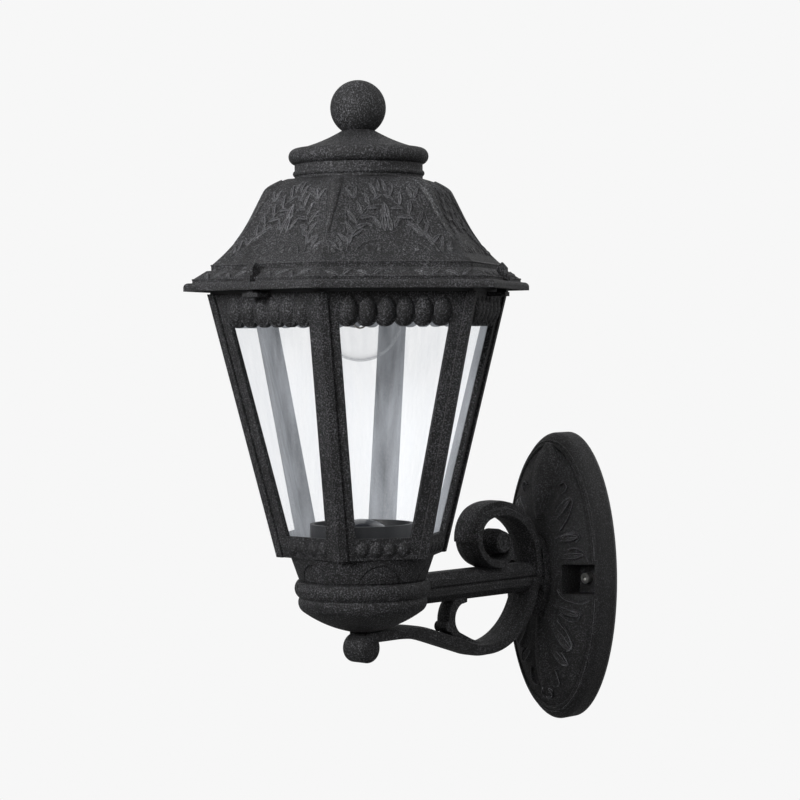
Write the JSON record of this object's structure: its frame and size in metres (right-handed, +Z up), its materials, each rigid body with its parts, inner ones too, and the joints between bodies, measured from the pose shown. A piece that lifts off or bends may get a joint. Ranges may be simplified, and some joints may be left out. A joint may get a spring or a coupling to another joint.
{
  "type": "outdoor wall light",
  "caption": "Six-sided lantern with a bell roof and ball finial, carried by a scrolled arm on an oval wall plate, with a clear insert and a hanging bulb.",
  "frame": {"origin": "middle of the wall plate's back, on the wall", "axes": "+Z up, -Y straight out from the wall, +X to the right of someone who faces the wall"},
  "size_m": [0.258, 0.3457, 0.4858],
  "materials": {
    "black_resin": "fine sand-textured black resin",
    "dome_plastic": "smooth black",
    "clear_plastic": "clear",
    "seal_rubber": "matt",
    "strap_steel": "zinc plated",
    "screw_steel": "satin",
    "terminal_plastic": "white",
    "brass": "bright",
    "lead_rubber": "matt",
    "holder_plastic": "glazed white",
    "bulb_glass": "clear",
    "bulb_metal": "bright",
    "bulb_insulator": "black",
    "filament": "dull"
  },
  "bodies": {
    "bracket_and_lantern": {"wall_plate": "black_resin", "arm_bracket": "black_resin", "lantern_cage": "black_resin", "gear_cup": "black_resin", "gear_dome": "dome_plastic", "diffuser": "clear_plastic", "wall_gasket": "seal_rubber", "cable_grommet": "seal_rubber", "wall_strap": "strap_steel", "plate_screw_left": "screw_steel", "plate_screw_right": "screw_steel", "arm_screw_lower": "screw_steel", "arm_screw_upper": "screw_steel", "set_screw_1": "screw_steel", "set_screw_2": "screw_steel", "set_screw_3": "screw_steel", "terminal_block": "terminal_plastic", "terminal_screw_1": "brass", "terminal_screw_2": "brass", "terminal_screw_3": "brass", "lead": "lead_rubber"},
    "roof": {"roof_seal": "seal_rubber", "roof_shell": "black_resin", "roof_cap": "black_resin", "finial_ball": "black_resin", "finial_stud": "screw_steel", "finial_nut": "screw_steel", "nipple_nut_upper": "screw_steel", "nipple_nut_lower": "screw_steel", "holder_nipple": "screw_steel", "lampholder": "holder_plastic", "lampholder_sleeve": "brass", "lampholder_contact": "brass", "bulb_cap": "bulb_metal", "bulb_insulator": "bulb_insulator", "bulb_tip": "bulb_metal", "bulb_glass": "bulb_glass", "bulb_stem": "bulb_glass", "bulb_filament": "filament"}
  },
  "joints": [
    {"name": "roof_lift", "type": "slide", "parent": "bracket_and_lantern", "child": "roof", "axis": [0, 0, 1], "range_m": [0, 0.08]}
  ]
}
